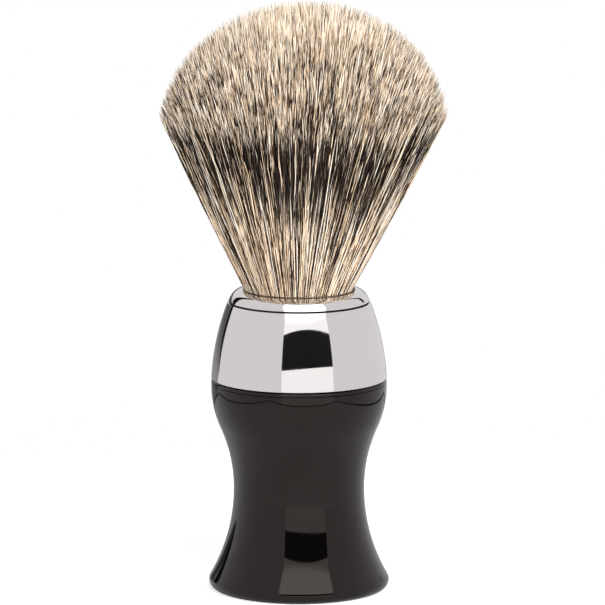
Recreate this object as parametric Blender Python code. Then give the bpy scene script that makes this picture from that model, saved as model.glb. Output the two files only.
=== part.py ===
# Shaving brush: a waisted black handle, a chromed collar that screws onto it, and a fan of hair.
# Metres, +Z up. The origin is the middle of the foot that the brush stands on.
import math
import random

import bmesh
import bpy
from mathutils import Vector
from mathutils.geometry import intersect_line_sphere_2d

# Gaps
SEAT_GAP = 0.0003            # between pieces that are pressed, glued or laid together
THREAD_GAP = 0.0003          # between the stud and the bore of the insert
MOUTH_GAP = 0.00035          # between the hair and the lip of the collar

# Handle, outside
HANDLE_HEIGHT = 0.0389       # foot to the seam under the collar
HANDLE_TOP_RADIUS = 0.01605  # at the seam, and the collar's foot with it
HANDLE_TOP_BAND = 0.0008     # upright band under the seam
HANDLE_TOP_ROUND = 0.0004    # rounded edge at the seam
WAIST_RADIUS = 0.0120        # thinnest place
WAIST_HEIGHT = 0.0186        # its height over the foot
SHOULDER_SHARE = 0.40        # outward-bowed part of the curve from the seam to the waist
BASE_RADIUS = 0.01655        # widest place of the flare
BASE_ROUND = 0.0023          # rounded edge of the foot

# Handle, inside
HANDLE_WALL = 0.0024         # plastic left round the cavity at the waist
SPIGOT_HEIGHT = 0.0045       # pilot over the seam that enters the collar
WEIGHT_LENGTH = 0.0170
WEIGHT_CHAMFER = 0.0008
INSERT_WALL = 0.0017         # brass round the thread
INSERT_LENGTH = 0.0110
INSERT_FLANGE_WIDTH = 0.0013
INSERT_FLANGE_HEIGHT = 0.0012

# Base plug
PLUG_RECESS = 0.0004         # set in from the foot, so that the rim carries the brush
PLUG_FLANGE_HEIGHT = 0.0026
PLUG_FLANGE_WIDTH = 0.0025   # flange beyond the boss
PLUG_BOSS_HEIGHT = 0.0016
PLUG_CHAMFER = 0.0004

# Screwed joint
STUD_RADIUS = 0.0040
STUD_ENGAGEMENT = 0.0075     # length of stud in the insert
STUD_TIP_CHAMFER = 0.0007
STUD_FLANGE_WIDTH = 0.0020   # flange beyond the shank
STUD_FLANGE_HEIGHT = 0.0014
SEAL_SECTION_RADIUS = 0.0007
SEAL_HEIGHT = 0.0024         # middle of the seal ring over the foot of the collar

# Collar
COLLAR_SIDE_HEIGHT = 0.01435 # foot of the collar to the edge at the top of its side
COLLAR_SIDE_BOW = 0.0006     # how far the side bows out from a straight cone
COLLAR_BEVEL_WIDTH = 0.0004
COLLAR_BEVEL_HEIGHT = 0.00065
COLLAR_SHOULDER_WIDTH = 0.00195
COLLAR_SHOULDER_HEIGHT = 0.00125
SHELL_WALL = 0.0012          # chromed shell
SKIRT_WALL = 0.0030          # core, round the spigot
CORE_FLOOR = 0.0026          # core, over the spigot

# Knot
KNOT_RADIUS = 0.0102         # hair where it leaves the collar
KNOT_DEPTH = 0.0032          # mouth down to the resin that the hair stands in
KNOT_LOFT = 0.0527           # mouth to the top of the dome
FAN_RADIUS = 0.0262          # widest place of the fan
FAN_HEIGHT = 0.0320          # mouth to the widest place
RESIN_SLICE = 0.0012         # resin that is one with the hair
BINDING_WIDTH = 0.0007
BINDING_HEIGHT = 0.0012
STRAND_RINGS = 8             # rings of hair; six locks times the square of this
STRAND_GAP = 0.00022         # between neighbouring locks at the root
STRAND_TAPER = 0.0060        # length of a lock's thinning end
STRAND_TIP = 0.45            # width of its end, as a share of its full width
STRAND_SPREAD = 0.0010       # how much shorter than the dome a lock can be
STRAND_TWIST = math.radians(3.4)  # turn of each ring past the one inside it, which hides the gaps
STRAND_SEED = 11

# Facets
OUTER_SEGMENTS = 44
INNER_SEGMENTS = 32
ARC_STEPS = 7
EDGE_STEPS = 3
SMOOTH_ANGLE = math.radians(32)
MERGE_DISTANCE = 1e-7

# Heights and radii that follow from the sizes
collar_foot = HANDLE_HEIGHT + SEAT_GAP
spigot_top = HANDLE_HEIGHT + SPIGOT_HEIGHT
side_top = collar_foot + COLLAR_SIDE_HEIGHT
bevel_top = side_top + COLLAR_BEVEL_HEIGHT
mouth_height = bevel_top + COLLAR_SHOULDER_HEIGHT
mouth_radius = KNOT_RADIUS + MOUTH_GAP
bevel_radius = mouth_radius + COLLAR_SHOULDER_WIDTH
side_radius = bevel_radius + COLLAR_BEVEL_WIDTH

core_foot_radius = HANDLE_TOP_RADIUS - SHELL_WALL - SEAT_GAP
skirt_bore = core_foot_radius - SKIRT_WALL
spigot_radius = skirt_bore - SEAT_GAP
socket_floor = spigot_top + SEAT_GAP + CORE_FLOOR

insert_bore = STUD_RADIUS + THREAD_GAP
insert_radius = insert_bore + INSERT_WALL
insert_flange_radius = insert_radius + INSERT_FLANGE_WIDTH
insert_bottom = spigot_top - INSERT_LENGTH
stud_tip = spigot_top - STUD_ENGAGEMENT
stud_flange_radius = STUD_RADIUS + STUD_FLANGE_WIDTH
stud_flange_bottom = socket_floor + SEAT_GAP
stud_flange_top = stud_flange_bottom + STUD_FLANGE_HEIGHT

cavity_radius = WAIST_RADIUS - HANDLE_WALL
weight_radius = cavity_radius - SEAT_GAP
plug_flange_radius = weight_radius + PLUG_FLANGE_WIDTH
plug_flange_top = PLUG_RECESS + PLUG_FLANGE_HEIGHT
plug_top = plug_flange_top + PLUG_BOSS_HEIGHT
weight_bottom = plug_top + SEAT_GAP
weight_top = weight_bottom + WEIGHT_LENGTH
cavity_top = weight_top + SEAT_GAP

fan_slope = (FAN_RADIUS - KNOT_RADIUS) / FAN_HEIGHT
apex_height = mouth_height - KNOT_RADIUS / fan_slope
slice_top = mouth_height - KNOT_DEPTH
slice_bottom = slice_top - RESIN_SLICE
slice_radius = KNOT_RADIUS - KNOT_DEPTH * fan_slope
resin_bottom = socket_floor + SEAT_GAP
resin_top = slice_bottom - SEAT_GAP
socket_radius = slice_radius + SEAT_GAP
binding_inner = slice_radius + SEAT_GAP
binding_outer = binding_inner + BINDING_WIDTH
binding_bottom = slice_bottom + SEAT_GAP
binding_seat = binding_bottom - SEAT_GAP
binding_bore = binding_outer + SEAT_GAP

dome_top = mouth_height + KNOT_LOFT
fan_edge = mouth_height + FAN_HEIGHT
dome_rise = dome_top - fan_edge
dome_radius = (FAN_RADIUS ** 2 + dome_rise ** 2) / (2 * dome_rise)
dome_centre = dome_top - dome_radius


def arc(centre, radius, start, end, steps):
    """Points on a circle in the (radius, height) plane, from one angle to another."""
    turns = [start + (end - start) * i / steps for i in range(steps + 1)]
    return [(centre[0] + radius * math.cos(a), centre[1] + radius * math.sin(a)) for a in turns]


def angle_to(centre, point):
    return math.atan2(point[1] - centre[1], point[0] - centre[0])


def finish(name, colour, metallic, roughness):
    """A plain Principled material."""
    made = bpy.data.materials.new(name)
    made.use_nodes = True
    shader = made.node_tree.nodes["Principled BSDF"]
    shader.inputs["Base Color"].default_value = (*colour, 1.0)
    shader.inputs["Metallic"].default_value = metallic
    shader.inputs["Roughness"].default_value = roughness
    made.diffuse_color = (*colour, 1.0)
    return made


def place(name, shape, seat, made_of):
    """A named object whose origin is on the axis at the height of its seat."""
    bmesh.ops.translate(shape, verts=shape.verts, vec=(0.0, 0.0, -seat))
    mesh = bpy.data.meshes.new(name)
    shape.to_mesh(mesh)
    shape.free()
    mesh.shade_smooth()
    mesh.set_sharp_from_angle(angle=SMOOTH_ANGLE)
    mesh.materials.append(made_of)
    piece = bpy.data.objects.new(name, mesh)
    piece.location = (0.0, 0.0, seat)
    bpy.context.scene.collection.objects.link(piece)
    return piece


def turned(name, profile, seat, segments, made_of):
    """A solid of revolution; its profile runs down the outer side and ends on the axis or at its start."""
    shape = bmesh.new()
    points = [shape.verts.new((radius, 0.0, height)) for radius, height in profile]
    ahead = points[1:]
    if profile[0][0] > MERGE_DISTANCE:
        ahead = ahead + points[:1]
    lines = [shape.edges.new(pair) for pair in zip(points, ahead)]
    bmesh.ops.spin(
        shape, geom=points + lines, cent=(0, 0, 0), axis=(0, 0, 1), angle=2 * math.pi, steps=segments
    )
    bmesh.ops.remove_doubles(shape, verts=shape.verts, dist=MERGE_DISTANCE)
    bmesh.ops.recalc_face_normals(shape, faces=shape.faces)
    return place(name, shape, seat, made_of)


def handle_side():
    """The handle's side from the seam to the foot: bowed out, waisted, flared, rounded under."""
    edge = (HANDLE_TOP_RADIUS - HANDLE_TOP_ROUND, HANDLE_HEIGHT - HANDLE_TOP_ROUND)
    points = arc(edge, HANDLE_TOP_ROUND, math.pi / 2, 0.0, EDGE_STEPS)
    band_bottom = HANDLE_HEIGHT - HANDLE_TOP_ROUND - HANDLE_TOP_BAND
    drop = band_bottom - WAIST_HEIGHT
    bend = 2 * math.atan2(HANDLE_TOP_RADIUS - WAIST_RADIUS, drop)
    both = drop / math.sin(bend)
    upper = SHOULDER_SHARE * both
    lower = both - upper
    points += arc((HANDLE_TOP_RADIUS - upper, band_bottom), upper, 0.0, -bend, EDGE_STEPS)
    waist = (WAIST_RADIUS + lower, WAIST_HEIGHT)
    points += arc(waist, lower, math.pi - bend, math.pi, ARC_STEPS)[1:]
    rim = (BASE_RADIUS - BASE_ROUND, BASE_ROUND)
    inset = WAIST_RADIUS - rim[0]
    fall = WAIST_HEIGHT - rim[1]
    flare = (inset ** 2 + fall ** 2 - BASE_ROUND ** 2) / (2 * (BASE_ROUND - inset))
    flare_centre = (WAIST_RADIUS + flare, WAIST_HEIGHT)
    meet = angle_to(rim, flare_centre)
    points += arc(flare_centre, flare, math.pi, math.pi + meet, ARC_STEPS)[1:]
    points += arc(rim, BASE_ROUND, meet, -math.pi / 2, 2 * EDGE_STEPS)[1:]
    return points


def collar_arc():
    """Centre and radius of the bowed side of the collar."""
    low = Vector((HANDLE_TOP_RADIUS, collar_foot))
    high = Vector((side_radius, side_top))
    chord = (high - low).length
    radius = chord ** 2 / (8 * COLLAR_SIDE_BOW) + COLLAR_SIDE_BOW / 2
    along = (high - low) / chord
    outward = Vector((along.y, -along.x))
    return (low + high) / 2 - outward * (radius - COLLAR_SIDE_BOW), radius


def side_angle(radius, height):
    """Angle on the collar's arc at a height."""
    return math.asin((height - side_centre.y) / radius)


# Start from an empty scene
for old in list(bpy.data.objects):
    bpy.data.objects.remove(old, do_unlink=True)

black_gloss = finish("black_gloss", (0.012, 0.011, 0.011), 0.0, 0.08)
black_moulding = finish("black_moulding", (0.02, 0.02, 0.02), 0.0, 0.5)
chrome_plate = finish("chrome_plate", (0.82, 0.82, 0.83), 1.0, 0.04)
turned_brass = finish("turned_brass", (0.72, 0.52, 0.20), 1.0, 0.3)
turned_steel = finish("turned_steel", (0.55, 0.55, 0.56), 1.0, 0.35)
seal_rubber = finish("seal_rubber", (0.015, 0.015, 0.015), 0.0, 0.7)
cast_resin = finish("cast_resin", (0.55, 0.38, 0.16), 0.0, 0.3)
waxed_thread = finish("waxed_thread", (0.62, 0.56, 0.46), 0.0, 0.8)
badger_hair = finish("badger_hair", (0.50, 0.42, 0.33), 0.0, 0.6)

# Handle shell: pilot spigot on top, pocket for the insert, cavity for the weight, seat for the plug
pocket_bottom = insert_bottom - SEAT_GAP
pocket_radius = insert_radius + SEAT_GAP
step_height = spigot_top - INSERT_FLANGE_HEIGHT - SEAT_GAP
step_radius = insert_flange_radius + SEAT_GAP
plug_seat = plug_flange_top + SEAT_GAP
plug_seat_radius = plug_flange_radius + SEAT_GAP
turned(
    "handle_shell",
    [(0.0, pocket_bottom), (pocket_radius, pocket_bottom), (pocket_radius, step_height)]
    + [(step_radius, step_height), (step_radius, spigot_top)]
    + [(spigot_radius, spigot_top), (spigot_radius, HANDLE_HEIGHT)]
    + handle_side()
    + [(plug_seat_radius, 0.0), (plug_seat_radius, plug_seat)]
    + [(cavity_radius, plug_seat), (cavity_radius, cavity_top), (0.0, cavity_top)],
    0.0, OUTER_SEGMENTS, black_gloss,
)

# Brass insert that the stud screws into
flange_bottom = spigot_top - INSERT_FLANGE_HEIGHT
turned(
    "threaded_insert",
    [(insert_flange_radius, spigot_top), (insert_flange_radius, flange_bottom)]
    + [(insert_radius, flange_bottom), (insert_radius, insert_bottom)]
    + [(insert_bore, insert_bottom), (insert_bore, spigot_top)],
    insert_bottom, INNER_SEGMENTS, turned_brass,
)

# Steel slug that gives the handle its weight
turned(
    "balance_weight",
    [(0.0, weight_top), (weight_radius - WEIGHT_CHAMFER, weight_top)]
    + [(weight_radius, weight_top - WEIGHT_CHAMFER), (weight_radius, weight_bottom + WEIGHT_CHAMFER)]
    + [(weight_radius - WEIGHT_CHAMFER, weight_bottom), (0.0, weight_bottom)],
    weight_bottom, INNER_SEGMENTS, turned_steel,
)

# Plug that closes the foot
turned(
    "base_plug",
    [(0.0, plug_top), (weight_radius, plug_top), (weight_radius, plug_flange_top)]
    + [(plug_flange_radius, plug_flange_top), (plug_flange_radius, PLUG_RECESS + PLUG_CHAMFER)]
    + [(plug_flange_radius - PLUG_CHAMFER, PLUG_RECESS), (0.0, PLUG_RECESS)],
    PLUG_RECESS, INNER_SEGMENTS, black_moulding,
)

# Chromed shell of the collar: lip, sloped shoulder, bevel, bowed side
side_centre, side_arc_radius = collar_arc()
shoulder_tilt = math.atan2(COLLAR_SHOULDER_HEIGHT, COLLAR_SHOULDER_WIDTH)
lip_bottom = mouth_height - SHELL_WALL / math.cos(shoulder_tilt)
inner_arc = side_arc_radius - SHELL_WALL
far = Vector((mouth_radius + side_radius, lip_bottom - side_radius * math.tan(shoulder_tilt)))
corners = intersect_line_sphere_2d(
    Vector((mouth_radius, lip_bottom)), far, side_centre, inner_arc, True
)
inner_corner = next(c for c in corners if c is not None)
turned(
    "chrome_collar",
    [(mouth_radius, mouth_height), (bevel_radius, bevel_top)]
    + arc(
        side_centre, side_arc_radius,
        side_angle(side_arc_radius, side_top), side_angle(side_arc_radius, collar_foot), ARC_STEPS,
    )
    + arc(
        side_centre, inner_arc,
        side_angle(inner_arc, collar_foot), side_angle(inner_arc, inner_corner.y), ARC_STEPS,
    )
    + [(mouth_radius, lip_bottom)],
    collar_foot, OUTER_SEGMENTS, chrome_plate,
)

# Core inside the shell: socket for the knot above, floor for the stud, skirt over the spigot
core_top = inner_corner.y - SEAT_GAP
core_arc = inner_arc - SEAT_GAP
skirt_roof = spigot_top + SEAT_GAP
groove_half = SEAL_SECTION_RADIUS + SEAT_GAP
groove_radius = skirt_bore + 2 * SEAL_SECTION_RADIUS + SEAT_GAP
seal_middle = collar_foot + SEAL_HEIGHT
stud_hole = STUD_RADIUS + SEAT_GAP
turned(
    "collar_core",
    [(stud_hole, socket_floor), (socket_radius, socket_floor), (socket_radius, binding_seat)]
    + [(binding_bore, binding_seat), (binding_bore, core_top)]
    + arc(
        side_centre, core_arc,
        side_angle(core_arc, core_top), side_angle(core_arc, collar_foot), ARC_STEPS,
    )
    + [(skirt_bore, collar_foot), (skirt_bore, seal_middle - groove_half)]
    + [(groove_radius, seal_middle - groove_half), (groove_radius, seal_middle + groove_half)]
    + [(skirt_bore, seal_middle + groove_half), (skirt_bore, skirt_roof), (stud_hole, skirt_roof)],
    collar_foot, INNER_SEGMENTS, black_moulding,
)

# Rubber ring in the groove of the core
seal_path = skirt_bore + SEAL_SECTION_RADIUS
turned(
    "collar_seal_ring",
    arc((seal_path, seal_middle), SEAL_SECTION_RADIUS, math.pi / 2, -1.5 * math.pi, 8)[:-1],
    seal_middle, INNER_SEGMENTS, seal_rubber,
)

# Flanged stud through the floor of the core
turned(
    "flanged_stud",
    [(0.0, stud_flange_top), (stud_flange_radius, stud_flange_top)]
    + [(stud_flange_radius, stud_flange_bottom), (STUD_RADIUS, stud_flange_bottom)]
    + [(STUD_RADIUS, stud_tip + STUD_TIP_CHAMFER)]
    + [(STUD_RADIUS - STUD_TIP_CHAMFER, stud_tip), (0.0, stud_tip)],
    stud_flange_bottom, INNER_SEGMENTS, turned_steel,
)

# Resin that sets the knot in the core, poured round the flange of the stud
pocket_roof = stud_flange_top + SEAT_GAP
flange_room = stud_flange_radius + SEAT_GAP
turned(
    "knot_resin_plug",
    [(0.0, resin_top), (slice_radius, resin_top), (slice_radius, resin_bottom)]
    + [(flange_room, resin_bottom), (flange_room, pocket_roof), (0.0, pocket_roof)],
    resin_bottom, INNER_SEGMENTS, cast_resin,
)

# Thread wound round the foot of the hair
binding_top = binding_bottom + BINDING_HEIGHT
turned(
    "knot_binding_thread",
    [(binding_inner, binding_top), (binding_outer, binding_top)]
    + [(binding_outer, binding_bottom), (binding_inner, binding_bottom)],
    binding_bottom, INNER_SEGMENTS, waxed_thread,
)

# Slice of resin: rings of triangles, one for each lock of hair
knot = bmesh.new()
rings = [[knot.verts.new((0.0, 0.0, slice_top))]]
for ring in range(1, STRAND_RINGS + 1):
    start = STRAND_TWIST * ring
    turns = [start + 2 * math.pi * i / (6 * ring) for i in range(6 * ring)]
    reach = slice_radius * ring / STRAND_RINGS
    rings.append(
        [knot.verts.new((reach * math.cos(a), reach * math.sin(a), slice_top)) for a in turns]
    )
locks = []
for ring in range(1, STRAND_RINGS + 1):
    outer = rings[ring]
    inner = rings[ring - 1]
    for sector in range(6):
        for i in range(ring):
            first = outer[sector * ring + i]
            second = outer[(sector * ring + i + 1) % len(outer)]
            near = inner[(sector * (ring - 1) + i) % len(inner)]
            locks.append(knot.faces.new((near, first, second)))
            if i < ring - 1:
                beside = inner[(sector * (ring - 1) + i + 1) % len(inner)]
                locks.append(knot.faces.new((near, second, beside)))
rim_edges = [edge for edge in knot.edges if edge.is_boundary]
wall = bmesh.ops.extrude_edge_only(knot, edges=rim_edges)["geom"]
wall_points = [part for part in wall if isinstance(part, bmesh.types.BMVert)]
bmesh.ops.translate(knot, verts=wall_points, vec=(0.0, 0.0, -RESIN_SLICE))
floor_edges = [part for part in wall if isinstance(part, bmesh.types.BMEdge) and part.is_boundary]
bmesh.ops.edgeloop_fill(knot, edges=floor_edges)

# Locks: each widens along rays from one point under the collar, then thins to its tip at the dome
lengths = random.Random(STRAND_SEED)
apex = Vector((0.0, 0.0, apex_height))
apex_drop = dome_centre - apex_height
bmesh.ops.inset_individual(knot, faces=locks, thickness=STRAND_GAP / 2, use_even_offset=True)
for lock in locks:
    ray = lock.calc_center_median() - apex
    lead = ray.z * apex_drop
    spare = ray.length_squared * (apex_drop ** 2 - dome_radius ** 2)
    reach = (lead + math.sqrt(lead ** 2 - spare)) / ray.length_squared
    reach -= lengths.uniform(0.0, STRAND_SPREAD) / ray.length
    thick = reach - STRAND_TAPER / ray.length
    shoulder = bmesh.ops.extrude_discrete_faces(knot, faces=[lock])["faces"][0]
    for point in shoulder.verts:
        point.co = apex + (point.co - apex) * thick
    tip = bmesh.ops.extrude_discrete_faces(knot, faces=[shoulder])["faces"][0]
    middle = tip.calc_center_median()
    for point in tip.verts:
        point.co = apex + (middle + (point.co - middle) * STRAND_TIP - apex) * (reach / thick)
bmesh.ops.recalc_face_normals(knot, faces=knot.faces)
place("bristle_knot", knot, slice_top, badger_hair)
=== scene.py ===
"""Looks of the shaving brush: gloss black handle, chromed collar, fan of banded hair."""
import math
from types import SimpleNamespace

import bpy
import numpy as np
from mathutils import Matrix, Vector
from mathutils.kdtree import KDTree


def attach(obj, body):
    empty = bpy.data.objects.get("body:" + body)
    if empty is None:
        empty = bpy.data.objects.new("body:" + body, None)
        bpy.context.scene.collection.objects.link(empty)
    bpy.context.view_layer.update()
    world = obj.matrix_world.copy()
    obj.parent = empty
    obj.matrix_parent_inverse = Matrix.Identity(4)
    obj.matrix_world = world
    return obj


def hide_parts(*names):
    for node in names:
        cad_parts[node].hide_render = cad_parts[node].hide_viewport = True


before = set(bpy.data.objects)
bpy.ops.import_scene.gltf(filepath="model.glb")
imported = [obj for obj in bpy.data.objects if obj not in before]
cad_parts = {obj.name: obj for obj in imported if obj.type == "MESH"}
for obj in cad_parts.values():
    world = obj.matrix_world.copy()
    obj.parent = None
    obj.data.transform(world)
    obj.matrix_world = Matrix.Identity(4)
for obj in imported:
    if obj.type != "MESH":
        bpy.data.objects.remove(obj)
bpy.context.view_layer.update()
MM = 0.001
TINY = 1e-6

# Camera: sensor and lens in millimetres, places in metres; far off, looking down by about ten degrees
SENSOR, LENS = 36.0, 363.6
CLIP_START = 0.05
CAMERA_SIDE, CAMERA_BACK, CAMERA_HIGH, AIM_HIGH = 0.00064, 1.10, 0.243, 0.053


def add_object(name, data):
    made = bpy.data.objects.new(name, data)
    bpy.context.scene.collection.objects.link(made)
    return made


def look_from(thing, place, aim):
    """Puts a camera or a lamp at a place, turned to a point."""
    thing.location = place
    thing.rotation_euler = (Vector(aim) - Vector(place)).to_track_quat("-Z", "Y").to_euler()


def make_camera():
    data = bpy.data.cameras.new("camera")
    data.sensor_width = SENSOR
    data.lens = LENS
    data.clip_start = CLIP_START
    camera = add_object("camera", data)
    look_from(camera, (CAMERA_SIDE, -CAMERA_BACK, CAMERA_HIGH), (CAMERA_SIDE, 0.0, AIM_HIGH))
    bpy.context.scene.camera = camera


make_camera()


# Node helpers
def new_material(name):
    made = bpy.data.materials.new(name)
    made.use_nodes = True
    tree = made.node_tree
    return made, tree, tree.nodes["Principled BSDF"]


def node(tree, kind, **settings):
    made = tree.nodes.new(kind)
    for key, value in settings.items():
        setattr(made, key, value)
    return made


def put(tree, socket, value):
    """Sets a socket to a number or a colour, or wires another socket into it."""
    if isinstance(value, (int, float)):
        socket.default_value = value
    elif isinstance(value, tuple):
        socket.default_value = (*value, 1.0)
    else:
        tree.links.new(value, socket)


def maths(tree, operation, *values):
    made = node(tree, "ShaderNodeMath", operation=operation)
    for socket, value in zip(made.inputs, values):
        put(tree, socket, value)
    return made.outputs[0]


def ramp(tree, value, low, high, to_low=0.0, to_high=1.0, smooth=True):
    """Goes from to_low to to_high as the value goes from low to high."""
    made = node(tree, "ShaderNodeMapRange", clamp=True)
    made.interpolation_type = "SMOOTHSTEP" if smooth else "LINEAR"
    put(tree, made.inputs["Value"], value)
    put(tree, made.inputs["From Min"], low)
    put(tree, made.inputs["From Max"], high)
    put(tree, made.inputs["To Min"], to_low)
    put(tree, made.inputs["To Max"], to_high)
    return made.outputs["Result"]


def mix_colour(tree, share, first, second):
    made = node(tree, "ShaderNodeMix", data_type="RGBA")
    sockets = [socket for socket in made.inputs if socket.enabled]
    for socket, value in zip(sockets, (share, first, second)):
        put(tree, socket, value)
    return [socket for socket in made.outputs if socket.enabled][0]


def blend(tree, first, second, share):
    """share of the first value and the rest of the second."""
    rest = maths(tree, "MULTIPLY", second, 1.0 - share)
    return maths(tree, "MULTIPLY_ADD", first, share, rest)


def place_on(tree):
    return node(tree, "ShaderNodeTexCoord").outputs["Object"]


def split_axes(tree, vector):
    made = node(tree, "ShaderNodeSeparateXYZ")
    put(tree, made.inputs[0], vector)
    return made.outputs


def noise(tree, place, scale, detail=2.0):
    made = node(tree, "ShaderNodeTexNoise")
    put(tree, made.inputs["Vector"], place)
    put(tree, made.inputs["Scale"], scale)
    put(tree, made.inputs["Detail"], detail)
    return made.outputs["Fac"]


def line_noise(tree, along, scale, detail=2.0):
    """Noise along one number."""
    made = node(tree, "ShaderNodeTexNoise", noise_dimensions="1D")
    put(tree, made.inputs["W"], along)
    put(tree, made.inputs["Scale"], scale)
    put(tree, made.inputs["Detail"], detail)
    return made.outputs["Fac"]


def random_from(tree, seed):
    """A node with a random value and colour for each seed."""
    made = node(tree, "ShaderNodeTexWhiteNoise", noise_dimensions="1D")
    put(tree, made.inputs["W"], seed)
    return made


def relief(tree, shader, height, strength, distance):
    bump = node(tree, "ShaderNodeBump")
    put(tree, bump.inputs["Strength"], strength)
    put(tree, bump.inputs["Distance"], distance)
    put(tree, bump.inputs["Height"], height)
    put(tree, shader.inputs["Normal"], bump.outputs["Normal"])


def mix_shaders(tree, kind, *sources):
    made = node(tree, kind)
    for socket, source in zip(made.inputs, sources):
        put(tree, socket, source)
    return made.outputs[0]


def by_ray(tree, ray, others, seen):
    """One shader for a kind of ray, and another for the other rays."""
    path = node(tree, "ShaderNodeLightPath")
    return mix_shaders(tree, "ShaderNodeMixShader", path.outputs[ray], others, seen)


# Lathe work, in millimetres
SAME_POINT = 1e-4


def arc(centre, radius, start, end, steps):
    turns = [start + (end - start) * i / steps for i in range(steps + 1)]
    return [(centre[0] + radius * math.cos(a), centre[1] + radius * math.sin(a)) for a in turns]


def straight(start, end, steps):
    shares = [i / steps for i in range(steps + 1)]
    return [(start[0] + (end[0] - start[0]) * s, start[1] + (end[1] - start[1]) * s) for s in shares]


def without_repeats(points):
    kept = [points[0]]
    for point in points[1:]:
        if math.dist(point, kept[-1]) > SAME_POINT:
            kept.append(point)
    return kept


def spun_rings(profile, sides, swell):
    """Points in metres, and for each ring the numbers of its points; on the axis a ring is one point."""
    points, rings = [], []
    for radius, height in profile:
        if radius < TINY:
            rings.append([len(points)])
            points.append((0.0, 0.0, height * MM))
            continue
        rings.append(list(range(len(points), len(points) + sides)))
        for k in range(sides):
            turn = 2 * math.pi * k / sides
            out = radius + (swell(radius, height, turn) if swell else 0.0)
            points.append((out * MM * math.cos(turn), out * MM * math.sin(turn), height * MM))
    return points, rings


def spun_faces(rings, sides):
    """Faces between neighbouring rings; a profile that starts off the axis closes on itself."""
    pairs = list(zip(rings, rings[1:]))
    if len(rings[0]) > 1:
        pairs.append((rings[-1], rings[0]))
    faces = []
    for upper, lower in pairs:
        for k in range(sides):
            after = (k + 1) % sides
            near = (upper[k % len(upper)], lower[k % len(lower)])
            far = (lower[after % len(lower)], upper[after % len(upper)])
            face = list(dict.fromkeys(near + far))
            if len(face) > 2:
                faces.append(face)
    return faces


def lathe(name, profile, sides, sharp=38.0, swell=None):
    """A closed body of revolution from (radius, height) points, with edges sharp from an angle in degrees.

    swell(radius, height, turn) gives what is added to the radius, for threads.
    """
    points, rings = spun_rings(without_repeats(profile), sides, swell)
    mesh = bpy.data.meshes.new(name)
    mesh.from_pydata(points, [], spun_faces(rings, sides))
    mesh.validate()
    mesh.shade_smooth()
    mesh.set_sharp_from_angle(angle=math.radians(sharp))
    return add_object(name, mesh)


# Seam of handle and collar, in millimetres: each shell reaches a little into the gap of the solids
SEAM, GAP, SEAT_CLOSE = 38.9, 0.3, 0.05

# Handle, in millimetres: the CAD's curves with fine facets, and a fine line cut below its rim
TOP_R, TOP_BAND, TOP_ROUND = 16.05, 0.8, 0.45
RIM_LINE, LINE_CUT = 0.62, 0.13
SHOULDER_SHARE = 0.40
WAIST_R, WAIST_Z = 12.0, 18.6
BASE_R, BASE_ROUND = 16.55, 1.5
SPIGOT_R, SPIGOT_Z, SPIGOT_CHAMFER = 11.25, 43.4, 0.35
STEP_R, STEP_Z = 7.6, 41.9
POCKET_R, POCKET_Z = 6.3, 32.1
CAVITY_R, CAVITY_Z = 9.6, 22.2
PLUG_SEAT_R, PLUG_SEAT_Z, PLUG_CHAMFER = 12.1, 3.3, 0.2


def handle_top():
    """Pocket of the insert, spigot and rounded rim with its line."""
    top = SEAM + SEAT_CLOSE
    line = top - RIM_LINE
    points = [(0.0, POCKET_Z)] + straight((POCKET_R, POCKET_Z), (POCKET_R, STEP_Z), steps=2)
    points += [(STEP_R, STEP_Z), (STEP_R, SPIGOT_Z)]
    points += [(SPIGOT_R - SPIGOT_CHAMFER, SPIGOT_Z), (SPIGOT_R, SPIGOT_Z - SPIGOT_CHAMFER)]
    points += [(SPIGOT_R, top)]
    points += arc((TOP_R - TOP_ROUND, top - TOP_ROUND), TOP_ROUND, math.pi / 2, 0.0, steps=10)
    return points + [(TOP_R, line), (TOP_R - LINE_CUT, line - LINE_CUT / 2), (TOP_R, line - LINE_CUT)]


def handle_side():
    """Shoulder and waist as two arcs that meet, then the flare and the rounded foot."""
    band = SEAM - TOP_ROUND - TOP_BAND
    drop = band - WAIST_Z
    bend = 2 * math.atan2(TOP_R - WAIST_R, drop)
    both = drop / math.sin(bend)
    upper = SHOULDER_SHARE * both
    lower = both - upper
    rim = (BASE_R - BASE_ROUND, BASE_ROUND)
    inset = WAIST_R - rim[0]
    fall = WAIST_Z - rim[1]
    flare = (inset ** 2 + fall ** 2 - BASE_ROUND ** 2) / (2 * (BASE_ROUND - inset))
    centre = (WAIST_R + flare, WAIST_Z)
    meet = math.atan2(centre[1] - rim[1], centre[0] - rim[0])
    points = [(TOP_R, band)]
    points += arc((TOP_R - upper, band), upper, 0.0, -bend, steps=22)
    points += arc((WAIST_R + lower, WAIST_Z), lower, math.pi - bend, math.pi, steps=26)
    points += arc(centre, flare, math.pi, math.pi + meet, steps=34)
    return points + arc(rim, BASE_ROUND, meet, -math.pi / 2, steps=22)


def handle_underside():
    """Seat of the base plug, and the cavity above it."""
    return [
        (PLUG_SEAT_R + PLUG_CHAMFER, 0.0), (PLUG_SEAT_R, PLUG_CHAMFER), (PLUG_SEAT_R, PLUG_SEAT_Z),
        (CAVITY_R, PLUG_SEAT_Z), (CAVITY_R, CAVITY_Z), (0.0, CAVITY_Z),
    ]


handle = lathe("handle_body", handle_top() + handle_side() + handle_underside(), sides=160)

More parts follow.
